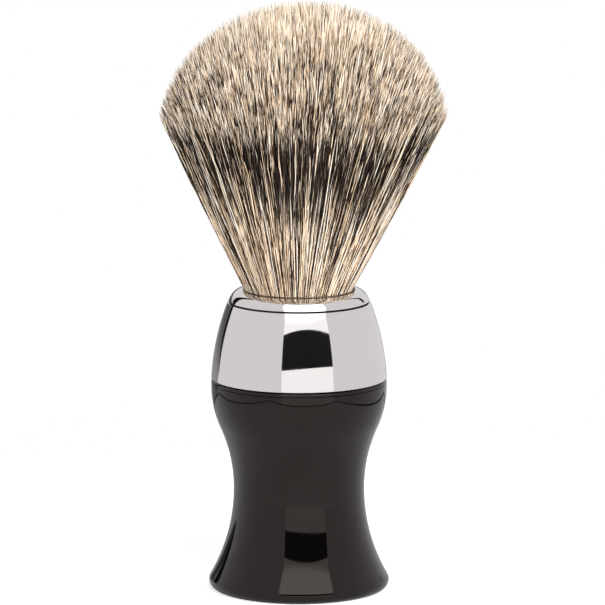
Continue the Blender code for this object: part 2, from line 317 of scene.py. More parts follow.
# Collar, in millimetres and degrees: a rolled lip, a fine groove and a bowed side
MOUTH_Z, MOUTH_DEEP, MOUTH_FOOT_Z = 55.45, 1.0, 54.0
LIP_MOUTH, LIP_EDGE = 10.17, 0.15
LIP_R, LIP_ROLL, LIP_START, LIP_TURN = 10.5, 2.16, 86.0, 38.0
LIP_FALL, LIP_END = 4.7, 22.0
SIDE_R, SIDE_Z, SIDE_BOW = 12.9, 53.55, 0.6
FOOT_Z = SEAM + GAP
FOOT_ROUND, FOOT_EASE, FOOT_CORNER = 0.1, 0.12, 0.03
SHELL_WALL, INNER_TOP_Z = 1.2, 53.2
GROOVE_EDGE, GROOVE_DEPTH, GROOVE_INSET = 0.05, 0.30, 0.06

# Heights in the groove, below the end of the lip
GROOVE_BREAK, GROOVE_ROOF, GROOVE_FLOOR, GROOVE_FOOT, GROOVE_SIDE = 0.02, 0.04, 0.25, 0.28, 0.33


def collar_lip():
    turn = math.radians(LIP_TURN)
    lip_centre = Vector((LIP_R, MOUTH_Z - LIP_ROLL))
    fall_centre = lip_centre + (LIP_ROLL - LIP_FALL) * Vector((math.cos(turn), math.sin(turn)))
    edge_centre = (LIP_MOUTH + LIP_EDGE, MOUTH_Z - LIP_EDGE)
    points = [(LIP_MOUTH, MOUTH_Z - MOUTH_DEEP)]
    points += arc(edge_centre, LIP_EDGE, math.pi, math.pi / 2, steps=5)
    points += arc(lip_centre, LIP_ROLL, math.radians(LIP_START), turn, steps=18)
    return points + arc(fall_centre, LIP_FALL, turn, math.radians(LIP_END), steps=14)


def collar_groove(lip_end, top):
    floor_r = lip_end - GROOVE_DEPTH
    return [
        (lip_end - GROOVE_EDGE, top - GROOVE_BREAK), (floor_r, top - GROOVE_ROOF),
        (floor_r, top - GROOVE_FLOOR), (SIDE_R - GROOVE_INSET, top - GROOVE_FOOT),
    ]


def collar_side(top):
    """The bowed side from a height down to the foot, and the inside of the shell up to the mouth."""
    low, high = Vector((TOP_R, FOOT_Z)), Vector((SIDE_R, SIDE_Z))
    chord = (high - low).length
    outer = chord ** 2 / (8 * SIDE_BOW) + SIDE_BOW / 2
    inner = outer - SHELL_WALL
    along = (high - low) / chord
    centre = (low + high) / 2 - Vector((along.y, -along.x)) * (outer - SIDE_BOW)
    foot = FOOT_Z - SEAT_CLOSE

    def bow(radius, start, end, steps):
        turns = [math.asin((z - centre.y) / radius) for z in (start, end)]
        return arc(centre, radius, *turns, steps)

    points = bow(outer, top, FOOT_Z + FOOT_EASE, steps=60)
    points += [(TOP_R, foot + FOOT_ROUND), (TOP_R - FOOT_CORNER, foot + FOOT_CORNER)]
    points += [(TOP_R - FOOT_ROUND, foot), (TOP_R - SHELL_WALL, foot)]
    points += bow(inner, FOOT_Z + FOOT_ROUND, INNER_TOP_Z, steps=20)
    return points + [(LIP_MOUTH, MOUTH_FOOT_Z)]


lip = collar_lip()
GROOVE_Z = lip[-1][1]
collar_points = lip + collar_groove(*lip[-1]) + collar_side(GROOVE_Z - GROOVE_SIDE)
collar = lathe("collar_shell", collar_points, sides=192, sharp=25.0)

# Screw joint, in millimetres: M8 stud in the head, brass insert in the handle
PITCH, THREAD_DEPTH, THREAD_PLAY, CREST_FLAT = 1.25, 0.62, 0.14, 0.125
THREAD_STEP = PITCH / 12
STUD_R, STUD_TIP, STUD_NECK = 4.0, 35.9, 45.6
TIP_CHAMFER, TIP_STEP = 0.9, 0.001
NECK_CUT, NECK_SLOPE = 0.3, 0.2
FLANGE_R, FLANGE_LOW, FLANGE_HIGH, FLANGE_CHAMFER = 6.0, 46.6, 48.0, 0.2
INSERT_R, INSERT_LOW, INSERT_HIGH, INSERT_FADE = 6.0, 32.4, 43.4, 0.9
BORE_R, BORE_CHAMFER = STUD_R + THREAD_PLAY, 0.3
RING_R, RING_LOW, RING_CHAMFER, RING_EASE = 7.3, 42.2, 0.15, 0.1
RIBS, RIB_DEPTH, RIB_SLOPE = 7, 0.35, 0.15


def thread_height(z, turn):
    """Height of the thread's ridge, from 0 at its root to 1 at its crest."""
    laid = z / PITCH - turn / (2 * math.pi)
    saw = abs(2 * (laid - math.floor(laid)) - 1)
    return min(1.0, max(0.0, (1 + 2 * CREST_FLAT) * saw - CREST_FLAT))


def fade(z, low, high, over):
    """1 between low and high, falling to 0 over a length at both ends."""
    return min(1.0, max(0.0, (z - low) / over), max(0.0, (high - z) / over))


def stud_profile():
    rows = round((STUD_NECK - STUD_TIP) / THREAD_STEP)
    neck_r = STUD_R - NECK_CUT
    points = [(0.0, STUD_TIP)] + straight((STUD_R, STUD_TIP + TIP_STEP), (STUD_R, STUD_NECK), rows)
    points += [(neck_r, STUD_NECK + NECK_SLOPE), (neck_r, FLANGE_LOW)]
    points += [(FLANGE_R - FLANGE_CHAMFER, FLANGE_LOW), (FLANGE_R, FLANGE_LOW + FLANGE_CHAMFER)]
    points += [(FLANGE_R, FLANGE_HIGH - FLANGE_CHAMFER), (FLANGE_R - FLANGE_CHAMFER, FLANGE_HIGH)]
    return points + [(0.0, FLANGE_HIGH)]


def stud_swell(radius, z, turn):
    """Cuts the thread below the neck, and a chamfer at the tip."""
    if z > STUD_NECK:
        return 0.0
    cut = THREAD_DEPTH * (1 - thread_height(z, turn)) * fade(z, STUD_TIP - PITCH, STUD_NECK, PITCH)
    chamfer = TIP_CHAMFER - (z - STUD_TIP)
    return -max(cut, chamfer)


def insert_profile():
    rows = round((INSERT_HIGH - INSERT_LOW) / THREAD_STEP)
    rib_step = (RING_LOW - INSERT_LOW) / (2 * RIBS)
    rib_r = INSERT_R - RIB_DEPTH
    points = straight((BORE_R, INSERT_LOW + BORE_CHAMFER), (BORE_R, INSERT_HIGH - BORE_CHAMFER), rows)
    points += [(BORE_R + BORE_CHAMFER, INSERT_HIGH), (RING_R - RING_CHAMFER, INSERT_HIGH)]
    points += [(RING_R, INSERT_HIGH - RING_CHAMFER), (RING_R, RING_LOW + RING_EASE)]
    points += [(RING_R - RING_EASE, RING_LOW), (INSERT_R, RING_LOW)]
    for k in range(RIBS):
        top = RING_LOW - (2 * k + 1) * rib_step
        points += [(INSERT_R, top), (rib_r, top - RIB_SLOPE), (rib_r, top - rib_step + RIB_SLOPE)]
    return points + [(INSERT_R, INSERT_LOW), (BORE_R + BORE_CHAMFER, INSERT_LOW)]


def insert_swell(radius, z, turn):
    """Fills the thread into the bore."""
    if radius > BORE_R + SAME_POINT:
        return 0.0
    return -THREAD_DEPTH * (1 - thread_height(z, turn)) * fade(z, INSERT_LOW, INSERT_HIGH, INSERT_FADE)


stud = lathe("threaded_stud", stud_profile(), sides=72, sharp=30.0, swell=stud_swell)
insert = lathe("brass_insert", insert_profile(), sides=72, sharp=30.0, swell=insert_swell)

# Fan of hair, in millimetres: its lines fan out from an apex below the mouth and end on a dome
HAIR_R, SLOPE, ROOT_Z = 9.92, 0.517, 51.6
APEX_Z = MOUTH_Z - HAIR_R / SLOPE
DOME_Z, DOME_R, DOME_SWELL, DOME_POWER = 81.0, 27.3, 0.8, 0.7
REACH_LEAST, REACH_MOST, HALVINGS = 20.0, 90.0, 40
SPREAD, TUCK, BEND_TO = 0.530, 0.00065, 33.0
SIDE_CLEAR, SIDE_GIVE = 0.1, 0.06
LEAN_FOOT, LEAN_TOP, LEAN_POWER, LEAN_OVER = -0.12, 1.55, 1.1, 52.0

# Angle above its middle from which the dome swells, and over how much more, in degrees
DOME_LIFT, DOME_LIFT_OVER = 12.0, 78.0

# Hairs: thick ones, thin ones under them and fill in the middle; places are shares of HAIR_R
THICK, THIN, FILL = 8000, 13500, 5400
THICK_GROUP, THIN_GROUP, FILL_GROUP = range(3)
JITTER, THIN_CROWDING, FILL_REACH = (0.006, 0.010, 0.010), 0.6, 0.80
TUFTS, TUFT_JITTER, TUFT_PULL, TUFT_DRIFT = 1500, 0.02, 0.7, 0.010
DISC_CORE = 0.05
STRAY = (0.016, 0.022, 0.050)
SIDE_REACH, SIDE_SQUEEZE = 0.985, 0.9
RIM_FROM, RIM_OVER = 0.75, 0.2

# How far the hairs end below the dome, and their radii, in millimetres
SHORT_SPREAD, SHORT_SHARE, SHORT_MOST = 0.32, 0.10, 3.0
RIM_SHORT_SHARE, RIM_SHORT_MOST = 0.60, 7.0
THIN_SHORT, FILL_SHORT = (0.1, 2.6), (1.0, 5.0)
THICK_HAIR_R, THIN_HAIR_R, FILL_HAIR_R = (0.056, 0.104), (0.045, 0.075), (0.10, 0.15)
PALE_THICKNESS = 0.75

# Waves of a hair, as size in millimetres and turns along it, and the levels of its points
WAVES = ((0.18, 1.1), (0.11, 2.5), (0.06, 4.6))
WAVE_GROW, WAVE_SPEED, WAVE_TILT = 2.2, (0.7, 1.3), 0.05
LEVELS = np.array([0.0, 0.14, 0.28, 0.42, 0.56, 0.70, 0.82, 0.92, 0.98, 1.0])
THICKNESS = np.array([0.70, 0.77, 0.87, 0.96, 1.0, 1.02, 0.98, 0.82, 0.55, 0.18])
GOLDEN = math.pi * (3 - math.sqrt(5))
rng = np.random.default_rng(32)


def length_of(vectors):
    """Lengths of an array's vectors, with the last axis kept."""
    return np.linalg.norm(vectors, axis=-1, keepdims=True)


def share_past(value, start, over):
    """0 up to start, rising evenly to 1 over a length."""
    return np.clip((value - start) / over, 0.0, 1.0)


def dome_reach(direction):
    """Distance from the apex to the dome along unit directions."""
    low = np.full(len(direction), REACH_LEAST)
    high = np.full(len(direction), REACH_MOST)
    for _ in range(HALVINGS):
        middle = (low + high) / 2
        point = direction * middle[:, None]
        point[:, 2] += APEX_Z - DOME_Z
        lift = np.degrees(np.arctan2(point[:, 2], np.hypot(point[:, 0], point[:, 1])))
        swell = np.sin(np.pi * share_past(lift, DOME_LIFT, DOME_LIFT_OVER) ** DOME_POWER)
        inside = length_of(point)[:, 0] < DOME_R + DOME_SWELL * swell
        low = np.where(inside, middle, low)
        high = np.where(inside, high, middle)
    return low


def disc(count, jitter, crowding=0.5):
    """Points over the unit disc: evenly at a crowding of 0.5, closer at its middle above that."""
    index = np.arange(count)
    out = ((index + 0.5) / count) ** crowding
    turn = index * GOLDEN + rng.normal(0, jitter, count) / np.maximum(out, DISC_CORE)
    return np.stack([out * np.cos(turn), out * np.sin(turn)], 1)


def nearest_tuft(base, tufts):
    """The number of the tuft that each hair belongs to."""
    tree = KDTree(len(tufts))
    for index, tuft in enumerate(tufts):
        tree.insert((*tuft, 0.0), index)
    tree.balance()
    return np.array([tree.find((*point, 0.0))[1] for point in base])


def aim_hairs(base, group, tufts, owner):
    """Where each hair's way crosses the mouth: drawn to its tuft, a little astray, inside the side."""
    pull = rng.uniform(0.0, TUFT_PULL, TUFTS)[owner]
    drift = rng.normal(0, TUFT_DRIFT, (TUFTS, 2))[owner]
    aim = base + (tufts[owner] - base) * pull[:, None] + drift
    aim += rng.normal(0, 1.0, (len(base), 2)) * np.array(STRAY)[group][:, None]
    far = length_of(aim)
    over = np.maximum(far - SIDE_REACH, 0.0)
    return aim * (far - SIDE_SQUEEZE * over) / far


def shorten_hairs(group, rim):
    """How far each hair ends below the dome; many at the rim are shorter."""
    count = len(group)
    short = np.abs(rng.normal(0, SHORT_SPREAD, count))
    short += (rng.random(count) < SHORT_SHARE) * rng.uniform(0, SHORT_MOST, count)
    short += rim * (rng.random(count) < RIM_SHORT_SHARE) * rng.uniform(0, RIM_SHORT_MOST, count)
    thin = rng.uniform(*THIN_SHORT, count)
    fill = rng.uniform(*FILL_SHORT, count)
    return np.choose(group, [short, thin, fill])


def straight_hairs(base, aim, short):
    """Unit directions, straight centre lines (hairs, levels, 3) and each point's distance from the tip."""
    count = len(base)
    way = np.concatenate([aim * HAIR_R, np.full((count, 1), MOUTH_Z - APEX_Z)], 1)
    way /= length_of(way)
    tip = way * (dome_reach(way) - short)[:, None]
    tip[:, 2] += APEX_Z
    root_r = HAIR_R - (MOUTH_Z - ROOT_Z) * SLOPE
    root = np.concatenate([base * root_r, np.full((count, 1), ROOT_Z)], 1)
    line = root[:, None, :] + (tip - root)[:, None, :] * LEVELS[None, :, None]
    return way, line, length_of(tip - root) * (1.0 - LEVELS)


def wave_hairs(line, way):
    """Bends the lines by gentle waves that grow from the root."""
    count = len(line)
    side = np.cross(way, [0.0, 0.0, 1.0] + rng.normal(0, WAVE_TILT, (count, 3)))
    side /= np.maximum(length_of(side), TINY)
    axes = (side, np.cross(way, side))
    grow = np.minimum(LEVELS * WAVE_GROW, 1.0)
    for amount, turns in WAVES:
        size = rng.normal(0, amount, (count, 2))
        phase = rng.uniform(0, 2 * math.pi, (count, 2))
        speed = turns * rng.uniform(*WAVE_SPEED, (count, 2))
        for j, across in enumerate(axes):
            wave = np.sin(2 * math.pi * speed[:, j, None] * LEVELS + phase[:, j, None])
            line += across[:, None, :] * (size[:, j, None] * wave * grow)[:, :, None]


def fit_to_fan(line):
    """Keeps the lines inside the fan's side, curves that side and leans the fan a little to the right."""
    rise = line[:, :, 2] - MOUTH_Z
    flat = np.hypot(line[:, :, 0], line[:, :, 1])
    wall = HAIR_R + SLOPE * rise - SIDE_CLEAR
    held = wall + SIDE_GIVE * (flat - wall)
    keep = np.where(flat > wall, held / np.maximum(flat, TINY), 1.0)
    bent = np.clip(rise, 0.0, BEND_TO)
    keep *= (HAIR_R + SPREAD * bent - TUCK * bent ** 2) / (HAIR_R + SLOPE * bent)
    line[:, :, :2] *= keep[:, :, None]
    lean = np.maximum(rise / LEAN_OVER, 0.0)
    line[:, :, 0] += LEAN_FOOT + LEAN_TOP * lean ** LEAN_POWER


def hair_radii(group):
    count = len(group)
    thin = rng.uniform(*THIN_HAIR_R, count)
    fill = rng.uniform(*FILL_HAIR_R, count)
    thick = rng.uniform(*THICK_HAIR_R, count)
    return np.choose(group, [thick, thin, fill])


# Colours: each kind of hair has a row of columns, and a hair's place in the row says where its band begins
BANDED, PALE, DARK, UNDER = range(4)
COLUMN_ENDS = (0, 64, 88, 112, 128)
COLUMNS = COLUMN_ENDS[-1]
LAST_PLACE = 0.999
CENTRE_X, CENTRE_WIDE = 0.08, 0.13
EDGE_FROM, EDGE_OVER = 0.91, 0.05
CORE_FROM, CORE_GAIN = 0.48, 4.0
BANDED_BELOW, PALE_BELOW = 0.45, 0.72
TUFT_CHANCE, CENTRE_CHANCE, FLANK_PALE = 0.16, 0.14, 0.38
TUFT_BETA, OWN_SPREAD, FLANK_SPREAD = (2.0, 2.3), 0.31, 0.5
INNER_SHIFT, RIM_SHIFT, SHOULDER_SHIFT, BACK_SHIFT = 0.16, 0.03, 0.40, 0.16
FLANK_SHIFT, RIGHT_SHIFT, CENTRE_SHIFT = -0.06, -0.20, -0.19
UNDER_SPREAD, UNDER_INNER, UNDER_RIM, UNDER_CENTRE = 0.55, 0.50, 0.15, -0.2
# Thin hairs dark up to the tip: painted shadow in the gaps between the pale tips
SHADOW_TIP_SHARE, SHADOW_TIP_RIM, SHADOW_TIP_MOST = 0.36, -0.26, 0.25


def knot_zones(base):
    """How far each hair belongs to the parts of the knot, as it is seen from the front."""
    out = np.linalg.norm(base, axis=1)
    beside = (base[:, 0] / out) ** 2
    edge = share_past(out, EDGE_FROM, EDGE_OVER)
    rim = share_past(out, RIM_FROM, RIM_OVER)
    inner = 1.0 - out
    return SimpleNamespace(
        rim=rim,
        flank=edge * beside,
        shoulder=rim * (1 - edge) * beside,
        right=edge * np.maximum(base[:, 0], 0.0),
        back=base[:, 1],
        centre=np.exp(-((base[:, 0] - CENTRE_X) / CENTRE_WIDE) ** 2),
        inner=inner + CORE_GAIN * np.maximum(inner - CORE_FROM, 0.0),
    )


def hair_kinds(group, owner, zone):
    """Thick hairs of three kinds, mixed by chance and by tuft, over thin ones and pale fill."""
    count = len(group)
    chance = rng.random(count) + rng.normal(0, TUFT_CHANCE, TUFTS)[owner] + CENTRE_CHANCE * zone.centre
    kind = np.where(chance < BANDED_BELOW, BANDED, np.where(chance < PALE_BELOW, PALE, DARK))
    kind = np.where(rng.random(count) < FLANK_PALE * zone.flank, PALE, kind)
    return np.choose(group, [kind, UNDER, PALE])


def band_places(group, owner, zone):
    """Places from 0 to 1; hairs of a tuft, and those of a zone, have their bands at like heights."""
    count = len(group)
    shift = INNER_SHIFT * zone.inner + RIM_SHIFT * zone.rim + SHOULDER_SHIFT * zone.shoulder
    shift += BACK_SHIFT * zone.back + FLANK_SHIFT * zone.flank
    shift += RIGHT_SHIFT * zone.right + CENTRE_SHIFT * zone.centre
    tuft = rng.beta(*TUFT_BETA, TUFTS)[owner]
    own = rng.normal(0, OWN_SPREAD, count) * (1 + FLANK_SPREAD * zone.flank)
    under = rng.uniform(0.0, UNDER_SPREAD, count)
    under += UNDER_INNER * zone.inner + UNDER_RIM * zone.rim + UNDER_CENTRE * zone.centre
    is_under = group == THIN_GROUP
    place = np.clip(np.where(is_under, under, tuft + own + shift), 0.0, LAST_PLACE)
    # Some thin hairs have their band from the tip: painted shadow between the pale tips
    shadow_tip = is_under & (rng.random(count) < SHADOW_TIP_SHARE + SHADOW_TIP_RIM * zone.rim)
    return np.where(shadow_tip, rng.uniform(0.0, SHADOW_TIP_MOST, count), place)


def pick_columns(kind, place):
    """The column of a kind that stands at a place from 0 to 1 in its row."""
    ends = np.array(COLUMN_ENDS)
    low, high = ends[kind], ends[kind + 1]
    return np.clip(low + np.floor(place * (high - low)), low, high - 1).astype(int)


def hair_lines():
    """Centre lines (hairs, levels, 3), radii, distances from the tip in millimetres, and colour columns."""
    thick = disc(THICK, JITTER[0])
    thin = disc(THIN, JITTER[1], THIN_CROWDING)
    fill = FILL_REACH * disc(FILL, JITTER[2])
    base = np.concatenate([thick, thin, fill])
    group = np.repeat([THICK_GROUP, THIN_GROUP, FILL_GROUP], [THICK, THIN, FILL])
    zone = knot_zones(base)
    tufts = disc(TUFTS, TUFT_JITTER)
    owner = nearest_tuft(base, tufts)
    aim = aim_hairs(base, group, tufts, owner)
    way, line, from_tip = straight_hairs(base, aim, shorten_hairs(group, zone.rim))
    wave_hairs(line, way)
    fit_to_fan(line)
    radius = hair_radii(group)
    kind = hair_kinds(group, owner, zone)
    radius *= np.where((kind == PALE) & (group == THICK_GROUP), PALE_THICKNESS, 1.0)
    column = pick_columns(kind, band_places(group, owner, zone))
    return line, radius[:, None] * THICKNESS, from_tip, column


# Hair meshes: a three-sided tube for each hair, lit by its own roundness and as part of the fan's surface
PIECES, SIDES = 9, 3
OWN_NORMAL = 0.55
CROSSWISE = (0.31, 0.93, 0.19)
DOME_FACE_Z, DOME_FACE_OVER = 75.0, 20.0
UV_NAME = "OFBake"
UV_MARGIN, UV_WIDE, UV_FOOT, UV_LENGTH = 0.12, 0.76, 0.01, 62.0
CAP_AROUND, CAP_LIFT = (0.2, 1.5, 2.8), (0.0, 0.004, 0.0)


def strand_rings(line, radius):
    """Three points round each point of the lines (hairs, levels, 3, 3), and their outward directions."""
    ahead = np.gradient(line, axis=1)
    ahead /= length_of(ahead)
    x = np.cross(ahead, np.array(CROSSWISE))
    x /= length_of(x)
    y = np.cross(ahead, x)
    spin = rng.uniform(0, 2 * math.pi, len(line))
    turn = (spin[:, None] + np.arange(SIDES) * 2 * math.pi / SIDES)[:, None, :, None]
    outward = np.cos(turn) * x[:, :, None, :] + np.sin(turn) * y[:, :, None, :]
    return line[:, :, None, :] + outward * radius[:, :, None, None], outward


def fan_normals(line):
    """Where the fan's surface faces: level along its side, and outwards on its dome."""
    normal = line - np.array([0.0, 0.0, DOME_Z])
    normal[:, :, 2] *= share_past(line[:, :, 2], DOME_FACE_Z, DOME_FACE_OVER)
    return normal / length_of(normal)


def strand_faces(count, rows):
    """Corners of all faces in turn, the sides before the two ends of each hair, and each face's size."""
    first = np.arange(count)[:, None, None] * rows * SIDES
    low = first + np.arange(rows - 1)[None, :, None] * SIDES
    high = low + SIDES
    here = np.arange(SIDES)[None, None, :]
    after = (here + 1) % SIDES
    sides = np.stack([low + here, low + after, high + after, high + here], 3)
    tips = first[:, 0] + (rows - 1) * SIDES + np.arange(SIDES)
    roots = first[:, 0] + np.arange(SIDES)[::-1]
    corners = np.concatenate([sides.ravel(), tips.ravel(), roots.ravel()])
    sizes = np.repeat([4, SIDES], [count * (rows - 1) * SIDES, 2 * count])
    return corners.astype(np.int32), sizes.astype(np.int32)


def strand_map(count, rows, corners, columns, lengths):
    """Map for baking: a column for each colour, with the faces across it and the length along it."""
    here = np.arange(SIDES)
    around = np.tile(np.stack([here, here + 1, here + 1, here], 1).ravel(), count * (rows - 1))
    lift = np.zeros(len(around))
    around = np.concatenate([around, np.tile(CAP_AROUND, count), np.tile(CAP_AROUND[::-1], count)])
    lift = np.concatenate([lift, np.tile(CAP_LIFT, 2 * count)])
    across = (columns[corners] + UV_MARGIN + UV_WIDE * around / SIDES) / COLUMNS
    along = UV_FOOT + lengths[corners] / UV_LENGTH + lift
    return np.stack([across, along], 1)


def strand_mesh(name, points, normals, column, from_tip):
    count, rows = points.shape[:2]
    corners, sizes = strand_faces(count, rows)
    starts = np.concatenate([[0], np.cumsum(sizes)[:-1]]).astype(np.int32)
    mesh = bpy.data.meshes.new(name)
    mesh.vertices.add(count * rows * SIDES)
    mesh.vertices.foreach_set("co", points.astype(np.float32).ravel())
    mesh.loops.add(len(corners))
    mesh.loops.foreach_set("vertex_index", corners)
    mesh.polygons.add(len(sizes))
    mesh.polygons.foreach_set("loop_start", starts)
    mesh.update(calc_edges=True)
    mesh.shade_smooth()
    lengths = np.repeat(from_tip.ravel(), SIDES)
    columns = np.repeat(column, rows * SIDES)
    for key, values in (("from_tip", lengths), ("strand", columns)):
        layer = mesh.attributes.new(key, "FLOAT", "POINT")
        layer.data.foreach_set("value", values.astype(np.float32))
    uv = mesh.uv_layers.new(name=UV_NAME)
    laid = strand_map(count, rows, corners, columns, lengths)
    uv.data.foreach_set("uv", laid.astype(np.float32).ravel())
    mesh.validate()
    mesh.normals_split_custom_set_from_vertices(normals.reshape(-1, 3))
    return mesh


def hair_pieces():
    """The fan, cut into sectors."""
    line, radius, from_tip, column = hair_lines()
    points, outward = strand_rings(line, radius)
    normals = OWN_NORMAL * outward + (1 - OWN_NORMAL) * fan_normals(line)[:, :, None, :]
    normals /= np.maximum(length_of(normals), TINY)
    turn = np.arctan2(line[:, -1, 1], line[:, -1, 0]) / (2 * math.pi) + 0.5
    sector = np.clip(np.floor(turn * PIECES).astype(int), 0, PIECES - 1)
    made = []
    for index in range(PIECES):
        mine = sector == index
        name = "bristles_%d" % (index + 1)
        mesh = strand_mesh(name, points[mine] * MM, normals[mine], column[mine], from_tip[mine])
        made.append(add_object(name, mesh))
    return made


hairs = hair_pieces()

# Bead of resin where the hair leaves the collar, in millimetres; its dark colour also paints the contact
# shadow at the hair's foot
BEAD_RISE, BEAD_WIDE, BEAD_DEEP = 0.20, 0.16, 0.5
BEAD_CROWN, BEAD_CROWN_FALL, BEAD_SHOULDER = 0.06, 0.02, 0.10
BEAD_LAP, BEAD_CLEAR = 0.02, 0.01


def bead_profile():
    foot, top = MOUTH_Z - BEAD_DEEP, MOUTH_Z + BEAD_RISE
    inner = LIP_MOUTH - BEAD_WIDE
    lean = SLOPE * BEAD_RISE
    return [
        (inner, foot), (inner, MOUTH_Z), (inner + lean, top),
        (inner + lean + BEAD_CROWN, top - BEAD_CROWN_FALL),
        (LIP_MOUTH + lean - BEAD_LAP, top - BEAD_SHOULDER),
        (LIP_MOUTH + BEAD_LAP, MOUTH_Z), (LIP_MOUTH - BEAD_CLEAR, foot),
    ]


bead = lathe("resin_bead", bead_profile(), sides=192)

# Hair material: pale tip, dark band, pale shaft; some hairs have no band, some are dark to the root
# Lengths from the tip in millimetres
BAND_REACH, BAND_FIRST = 11.5, -2.3
UNDER_REACH, UNDER_FIRST = 7.0, -1.5
BAND_LENGTH, BAND_LENGTH_SPREAD, UNDER_LONGER = 6.8, 8.8, 3.5
BAND_RISE_OVER, BAND_FALL_OVER = 3.0, 8.0
LENGTH_SEED, KIND_SEED = 0.0, 311.7
UNDER_PLAIN_ABOVE, UNDER_THROUGH_ABOVE, PLAIN_HIDES = 0.87, 0.50, 0.95

# Tones of a strand's faces and streaks, and the colours between which they mix; a strand's darker faces are
# painted shade, and SHADE is painted shadow between the hairs
FACE_SEED, COLUMN_SEED, FACE_TONE = 0.37, 5.0, 0.75
STREAK_SEED, STREAK_SCALE, STREAK_DETAIL = 61.3, 0.32, 1.0
STREAK_RANGE, STREAK_TONE = (0.28, 0.60), (0.0, 0.40)
CREAM_TONES, WHITE_TONES, BROWN_TONES = (0.26, 0.58), (0.52, 0.92), (0.3, 1.0)
GOLD_SCALE, GOLD_RANGE, GOLD_SHARE = 0.21, (0.50, 0.72), (0.0, 0.7)
SHADE, CREAM = (0.075, 0.038, 0.018), (0.93, 0.71, 0.495)
WHITE, GOLD = (1.0, 0.915, 0.795), (0.78, 0.56, 0.35)
BLACK, BROWN = (0.002, 0.0016, 0.0016), (0.040, 0.027, 0.022)
HAIR_ROUGH, HAIR_SPECULAR = 0.42, 0.12


def attribute(tree, name):
    return node(tree, "ShaderNodeAttribute", attribute_name=name).outputs["Fac"]


def chances(tree, column, seed):
    """Three random numbers for each column."""
    split = node(tree, "ShaderNodeSeparateColor")
    put(tree, split.inputs["Color"], random_from(tree, maths(tree, "ADD", column, seed)).outputs["Color"])
    return split.outputs


def of_kind(tree, column, kind):
    """1 in a kind's columns and 0 elsewhere, and the place from 0 to 1 in its row."""
    first, end = COLUMN_ENDS[kind], COLUMN_ENDS[kind + 1]
    after = maths(tree, "GREATER_THAN", column, first - 0.5)
    before = maths(tree, "LESS_THAN", column, end - 0.5)
    return maths(tree, "MULTIPLY", after, before), ramp(tree, column, first, end - 1, smooth=False)


def hair_band(tree, tip, column):
    """1 in a hair's dark band and 0 in its pale tip and shaft."""
    is_banded, banded_place = of_kind(tree, column, BANDED)
    is_pale, _ = of_kind(tree, column, PALE)
    is_dark, dark_place = of_kind(tree, column, DARK)
    is_under, under_place = of_kind(tree, column, UNDER)
    _, _, length_chance = chances(tree, column, LENGTH_SEED)
    _, plain_chance, through_chance = chances(tree, column, KIND_SEED)
    place = maths(tree, "MULTIPLY", is_banded, banded_place)
    place = maths(tree, "MULTIPLY_ADD", is_dark, dark_place, place)
    begin = maths(tree, "MULTIPLY_ADD", place, BAND_REACH, BAND_FIRST)
    under_begin = maths(tree, "MULTIPLY_ADD", under_place, UNDER_REACH, UNDER_FIRST)
    begin = maths(tree, "MULTIPLY_ADD", is_under, under_begin, begin)
    length = maths(tree, "MULTIPLY_ADD", length_chance, BAND_LENGTH_SPREAD, BAND_LENGTH)
    length = maths(tree, "MULTIPLY_ADD", is_under, UNDER_LONGER, length)
    past_begin = maths(tree, "SUBTRACT", tip, begin)
    past_end = maths(tree, "SUBTRACT", past_begin, length)
    rise = ramp(tree, past_begin, 0.0, BAND_RISE_OVER)
    fall = ramp(tree, past_end, 0.0, BAND_FALL_OVER, 1.0, 0.0)
    under_plain = maths(tree, "GREATER_THAN", plain_chance, UNDER_PLAIN_ABOVE)
    under_through = maths(tree, "GREATER_THAN", through_chance, UNDER_THROUGH_ABOVE)
    plain = maths(tree, "MULTIPLY_ADD", is_under, under_plain, is_pale)
    through = maths(tree, "MULTIPLY_ADD", is_under, under_through, is_dark)
    band = maths(tree, "MULTIPLY", rise, maths(tree, "MAXIMUM", fall, through))
    return maths(tree, "MULTIPLY", band, maths(tree, "MULTIPLY_ADD", plain, -PLAIN_HIDES, 1.0))


def hair_tone_and_shade(tree, tip, column):
    """Each strand has lighter and darker faces, painted light and shade across it, and streaks along it."""
    across = split_axes(tree, node(tree, "ShaderNodeUVMap", uv_map=UV_NAME).outputs[0])[0]
    around = maths(tree, "FRACT", maths(tree, "MULTIPLY", across, COLUMNS))
    around = maths(tree, "SUBTRACT", around, UV_MARGIN)
    face = maths(tree, "FLOOR", maths(tree, "MULTIPLY", around, SIDES / UV_WIDE))
    seed = maths(tree, "MULTIPLY_ADD", face, FACE_SEED, maths(tree, "MULTIPLY", column, COLUMN_SEED))
    along = maths(tree, "MULTIPLY_ADD", column, STREAK_SEED, tip)
    streak = line_noise(tree, along, STREAK_SCALE, STREAK_DETAIL)
    streak = ramp(tree, streak, *STREAK_RANGE, *STREAK_TONE)
    return maths(tree, "MULTIPLY_ADD", random_from(tree, seed).outputs["Value"], FACE_TONE, streak)


def hair_material():
    made, tree, shader = new_material("badger_hair")
    tip = attribute(tree, "from_tip")
    column = maths(tree, "ROUND", attribute(tree, "strand"))
    tone = hair_tone_and_shade(tree, tip, column)
    # Pale hairs: faces of low tone take SHADE, painted shade across and between the hairs
    light = mix_colour(tree, ramp(tree, tone, *CREAM_TONES), SHADE, CREAM)
    light = mix_colour(tree, ramp(tree, tone, *WHITE_TONES), light, WHITE)
    gold = ramp(tree, line_noise(tree, column, GOLD_SCALE), *GOLD_RANGE, *GOLD_SHARE)
    light = mix_colour(tree, gold, light, GOLD)
    dark = mix_colour(tree, ramp(tree, tone, *BROWN_TONES), BLACK, BROWN)
    put(tree, shader.inputs["Base Color"], mix_colour(tree, hair_band(tree, tip, column), light, dark))
    put(tree, shader.inputs["Roughness"], HAIR_ROUGH)
    put(tree, shader.inputs["Specular IOR Level"], HAIR_SPECULAR)
    return made


